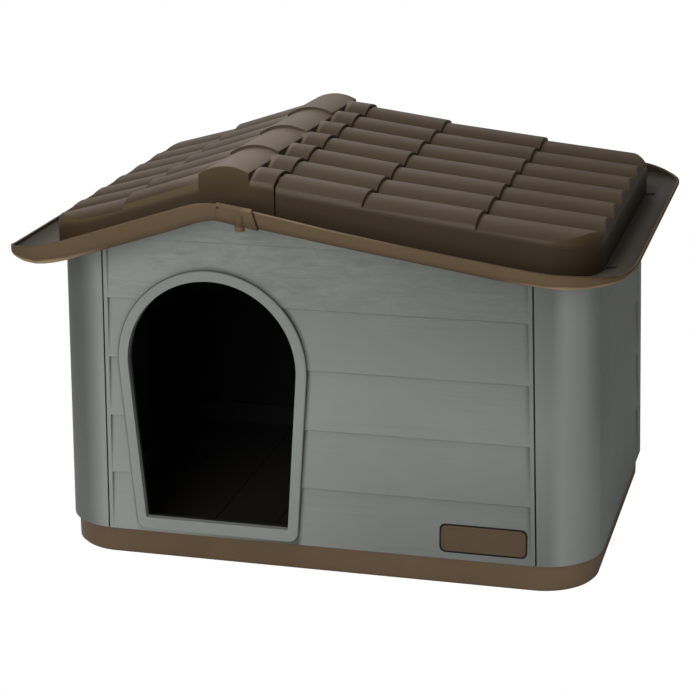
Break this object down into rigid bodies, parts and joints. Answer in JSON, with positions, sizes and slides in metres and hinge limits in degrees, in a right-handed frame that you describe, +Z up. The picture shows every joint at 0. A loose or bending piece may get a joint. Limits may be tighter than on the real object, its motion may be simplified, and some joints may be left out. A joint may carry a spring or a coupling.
{
  "type": "cat house",
  "caption": "Small outdoor plastic cat house with lapped-board walls, a round-headed doorway, a floor tray and a tiled gable roof with a lifting lid.",
  "frame": {"origin": "on the ground, under the middle of the walls", "axes": "X to the right along the front, Y from the front to the rear, Z up"},
  "size_m": [0.6088, 0.4974, 0.4095],
  "materials": {
    "brown_plastic": "brown moulded plastic, fine grain",
    "grey_plastic": "grey moulded plastic, wood grain on the boards",
    "plate_plastic": "brown moulded plastic, smooth",
    "roof_plastic": "dark brown moulded plastic, satin",
    "pin_steel": "plain steel pin"
  },
  "bodies": {
    "house": {"base_tray": "brown_plastic", "front_wall": "grey_plastic", "rear_wall": "grey_plastic", "left_wall": "grey_plastic", "right_wall": "grey_plastic", "name_plate": "plate_plastic", "roof_left": "roof_plastic"},
    "lid": {"roof_right": "roof_plastic", "hinge_pins": "pin_steel"}
  },
  "joints": [
    {"name": "lid_hinge", "type": "hinge", "parent": "house", "child": "lid", "pos_m": [-0.03, 0, 0.389], "axis": [0, -1, 0], "range_deg": [0, 70]}
  ]
}
